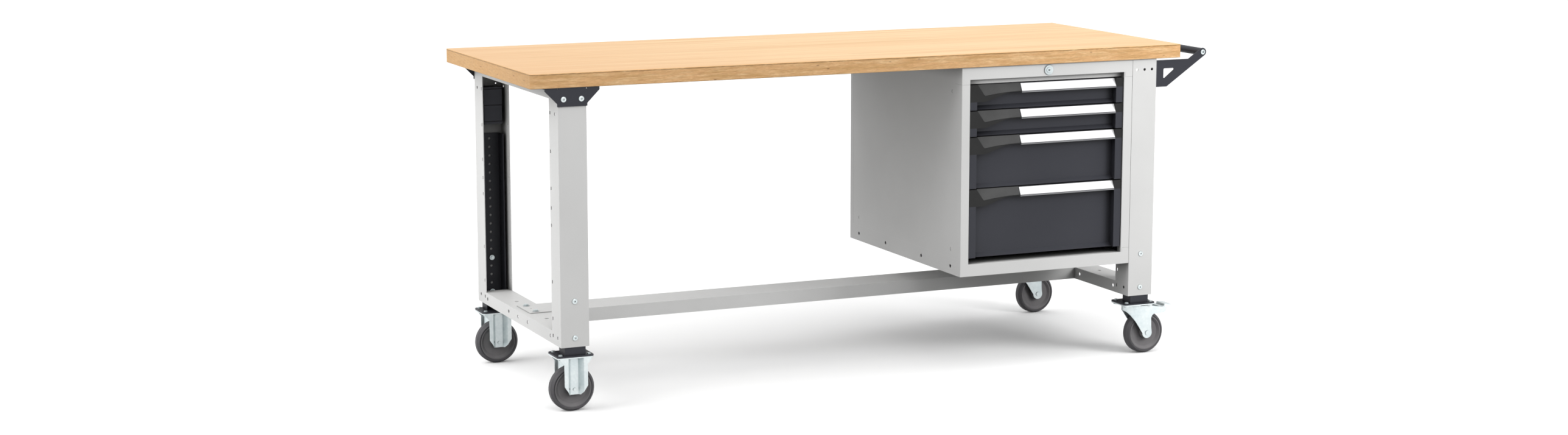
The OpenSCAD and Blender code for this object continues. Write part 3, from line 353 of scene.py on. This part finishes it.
MATS = {
    "timber": timber(),
    # the edge colour given to each powder coat is a painted highlight
    "paint_light": powder("paint_light", base=lin(218, 218, 217), low=lin(211, 211, 210),
                          fleck=lin(200, 200, 199), edge_highlight=lin(240, 240, 239),
                          rough=0.46, shine=0.2),
    "paint_dark": powder("paint_dark", base=lin(53, 54, 60), low=lin(47, 48, 54),
                         fleck=lin(58, 59, 65), edge_highlight=lin(92, 93, 100),
                         rough=0.48, shine=0.25),
    "runner_steel": steel(),
    "zinc": zinc(),
    "tread": rubber(),
    "wheel_grey": moulded("wheel_grey", lin(120, 118, 119), lin(110, 108, 110),
                          HUB_GRAIN, rough=0.5),
    "grip_profile": profile(),
    "label_white": label(),
    "cap_black": moulded("cap_black", lin(34, 34, 34), lin(29, 29, 29),
                         PLASTIC_GRAIN, rough=0.5, relief=0.2),
    # the latch gets a strong painted highlight along its edges
    "latch_grey": moulded("latch_grey", lin(76, 76, 76), lin(66, 66, 66),
                          PLASTIC_GRAIN, rough=0.42, relief=0.15, highlight_weight=0.8),
}
for name, obj in NODES.items():
    slots = obj.data.materials
    if not slots:
        slots.append(None)
    for i in range(len(slots)):
        slots[i] = MATS[SLOT_OF[name]]


# ---------------------------------------------------------------- studio
def studio():
    """A white world: plain fill for the object, pure white where it is seen directly."""
    world = bpy.data.worlds.new("studio")
    bpy.context.scene.world = world
    world.use_nodes = True
    t = world.node_tree
    t.nodes.clear()
    out = t.nodes.new("ShaderNodeOutputWorld")
    fill = t.nodes.new("ShaderNodeBackground")
    seen = t.nodes.new("ShaderNodeBackground")
    mix = t.nodes.new("ShaderNodeMixShader")
    fill.inputs["Color"].default_value = (1.0, 1.0, 1.0, 1.0)
    fill.inputs["Strength"].default_value = WORLD_FILL
    seen.inputs["Color"].default_value = (1.0, 1.0, 1.0, 1.0)
    seen.inputs["Strength"].default_value = 1.0
    t.links.new(seen_directly(t), mix.inputs["Fac"])
    t.links.new(fill.outputs[0], mix.inputs[1])
    t.links.new(seen.outputs[0], mix.inputs[2])
    t.links.new(mix.outputs[0], out.inputs["Surface"])


def lamp(name, place, aim, size, power):
    """A rectangular area lamp at a place, turned to the point that it aims at."""
    data = bpy.data.lights.new(name, "AREA")
    data.shape = "RECTANGLE"
    data.size, data.size_y = size
    data.energy = power
    o = bpy.data.objects.new(name, data)
    bpy.context.scene.collection.objects.link(o)
    o.location = place
    o.visible_camera = False
    o.visible_glossy = False
    o.rotation_euler = (Vector(aim) - Vector(place)).to_track_quat("-Z", "Y").to_euler()


def sky_lamp(name, source, spread, strength):
    """A wide soft lamp far away; source is the direction that it shines from."""
    data = bpy.data.lights.new(name, "SUN")
    data.energy = strength
    data.angle = math.radians(spread)
    o = bpy.data.objects.new(name, data)
    bpy.context.scene.collection.objects.link(o)
    o.rotation_euler = (-Vector(source)).to_track_quat("-Z", "Y").to_euler()


def seen_directly(tree):
    """1 on rays that show the background: camera, glossy and transmission rays."""
    path = tree.nodes.new("ShaderNodeLightPath")
    value = path.outputs["Is Camera Ray"]
    for other in ("Is Glossy Ray", "Is Transmission Ray"):
        either = tree.nodes.new("ShaderNodeMath")
        either.operation = "MAXIMUM"
        tree.links.new(value, either.inputs[0])
        tree.links.new(path.outputs[other], either.inputs[1])
        value = either.outputs[0]
    return value


def floor():
    """A wide floor just under the wheels: dark to the object, white to the camera."""
    mesh = bpy.data.meshes.new("floor")
    corners = [(x * FLOOR_HALF, y * FLOOR_HALF, 0) for x, y in ((-1, -1), (1, -1), (1, 1), (-1, 1))]
    mesh.from_pydata(corners, [], [(0, 1, 2, 3)])
    o = bpy.data.objects.new("floor", mesh)
    bpy.context.scene.collection.objects.link(o)
    o.location.z = -FLOOR_DROP
    m = bpy.data.materials.new("floor")
    m.use_nodes = True
    t = m.node_tree
    t.nodes.clear()
    out = t.nodes.new("ShaderNodeOutputMaterial")
    near = t.nodes.new("ShaderNodeBsdfDiffuse")
    near.inputs["Color"].default_value = (FLOOR_BOUNCE, FLOOR_BOUNCE, FLOOR_BOUNCE, 1)
    seen = t.nodes.new("ShaderNodeBsdfDiffuse")
    seen.inputs["Color"].default_value = (FLOOR_SEEN, FLOOR_SEEN, FLOOR_SEEN, 1)
    mix = t.nodes.new("ShaderNodeMixShader")
    t.links.new(seen_directly(t), mix.inputs["Fac"])
    t.links.new(near.outputs[0], mix.inputs[1])
    t.links.new(seen.outputs[0], mix.inputs[2])
    t.links.new(mix.outputs[0], out.inputs["Surface"])
    mesh.materials.append(m)


studio()
floor()
sky_lamp("above", (0.0, 0.0, 1.0), 60.0, 0.52)
sky_lamp("ahead", (0.0, -1.0, 0.8), 40.0, 0.46)
sky_lamp("beside", (-1.0, -0.1, 0.8), 40.0, 0.90)
lamp("left", (-1.65, 0.15, 0.62), (-1.0, 0.1, 0.55), (1.1, 0.9), 4.2)
lamp("right", (2.0, -2.0, 1.3), (0.6, -0.3, 0.5), (1.0, 1.0), 33.0)
lamp("near", (-1.1, -1.7, 0.95), (-0.9, -0.35, 0.55), (0.6, 0.6), 3.2)

cam_data = bpy.data.cameras.new("camera")
cam_data.lens = CAM_LENS
cam_data.sensor_width = SENSOR_WIDTH
cam_data.clip_end = 200.0
cam = bpy.data.objects.new("camera", cam_data)
bpy.context.scene.collection.objects.link(cam)
cam.location = (CAM_POS[0] + CORNER_X, CAM_POS[1] + CORNER_Y, CAM_POS[2])
cam.rotation_euler = Euler((math.radians(90 - CAM_PITCH), 0, math.radians(-CAM_YAW)), "XYZ")
bpy.context.scene.camera = cam
bpy.context.scene.view_settings.view_transform = "Standard"
